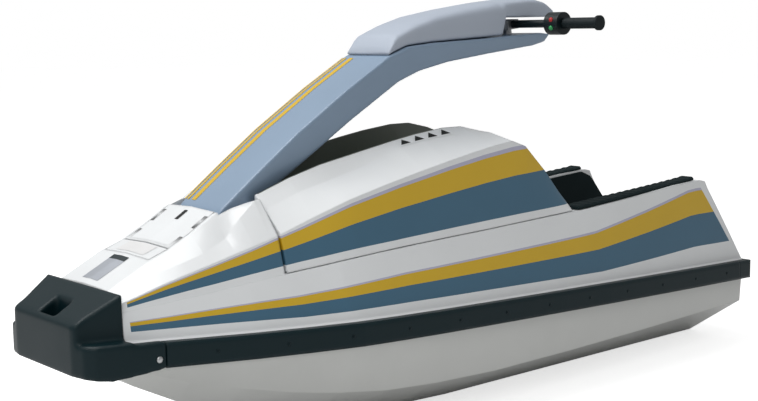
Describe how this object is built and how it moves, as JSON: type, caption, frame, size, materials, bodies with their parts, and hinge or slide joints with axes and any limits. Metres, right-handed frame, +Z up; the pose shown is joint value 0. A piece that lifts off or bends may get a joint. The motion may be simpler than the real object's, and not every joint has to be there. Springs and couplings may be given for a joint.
{
  "type": "stand-up personal watercraft",
  "caption": "Single-rider stand-up personal watercraft with folding handle pole, lift-off hood, hinged bow cover, steered water-pump nozzle and open rider tray.",
  "frame": {"origin": "on the floor under the middle of the craft", "axes": "+X to the bow, +Y to port, +Z up"},
  "size_m": [2.24, 0.686, 1.07],
  "materials": {
    "gelcoat_white": "gloss",
    "bumper_green": "satin",
    "mat_foam": "matte",
    "alloy": "satin",
    "steel": "brushed",
    "pole_blue": "satin",
    "pad_grey": "matte",
    "bar_black": "satin",
    "grip_rubber": "matte",
    "switch_black": "satin",
    "engine_grey": "cast"
  },
  "bodies": {
    "craft": {"hull": "gelcoat_white", "deck": "gelcoat_white", "bow_bumper": "bumper_green", "side_rail_port": "bumper_green", "side_rail_starboard": "bumper_green", "stern_corner_port": "bumper_green", "stern_corner_starboard": "bumper_green", "gunwale_pad_port": "mat_foam", "gunwale_pad_starboard": "mat_foam", "tray_mat": "mat_foam", "pole_bracket": "alloy", "pivot_pin": "steel", "engine_block": "engine_grey", "jet_pump": "alloy", "ride_plate": "alloy", "intake_grate": "alloy", "exhaust_outlet": "grip_rubber", "drain_plugs": "grip_rubber", "fuel_cap": "switch_black"},
    "hood": {"hood": "gelcoat_white"},
    "bow_cover": {"bow_cover": "gelcoat_white"},
    "handle_pole": {"handle_pole": "pole_blue", "pole_pad": "pad_grey"},
    "handlebar": {"steering_stem": "alloy", "handlebar": "bar_black", "grip_port": "grip_rubber", "grip_starboard": "grip_rubber", "switch_housing": "switch_black", "throttle": "switch_black"},
    "nozzle": {"steering_nozzle": "alloy"},
    "impeller": {"impeller": "steel", "drive_shaft": "steel"}
  },
  "joints": [
    {"name": "pole_fold", "type": "hinge", "parent": "craft", "child": "handle_pole", "pos_m": [0.655, 0, 0.53], "axis": [0, 1, 0], "range_deg": [-21.5, 28]},
    {"name": "bar_steer", "type": "hinge", "parent": "handle_pole", "child": "handlebar", "pos_m": [-0.343, 0, 0.997], "axis": [0.1132, 0, 0.9936], "range_deg": [-30, 30]},
    {"name": "nozzle_steer", "type": "hinge", "parent": "craft", "child": "nozzle", "pos_m": [-0.975, 0, 0.104], "axis": [0, 0, 1], "range_deg": [-18, 18]},
    {"name": "impeller_spin", "type": "hinge", "parent": "craft", "child": "impeller", "pos_m": [-0.8, 0, 0.104], "axis": [1, 0, 0], "continuous": true},
    {"name": "hood_lift", "type": "slide", "parent": "craft", "child": "hood", "axis": [-0.7071, 0, 0.7071], "range_m": [0, 0.2]},
    {"name": "bow_cover_hinge", "type": "hinge", "parent": "craft", "child": "bow_cover", "pos_m": [0.905, 0, 0.495], "axis": [0, 1, 0], "range_deg": [0, 70]}
  ],
  "couplings": [
    {"joint": "nozzle_steer", "follows": "bar_steer", "ratio": 0.6}
  ]
}
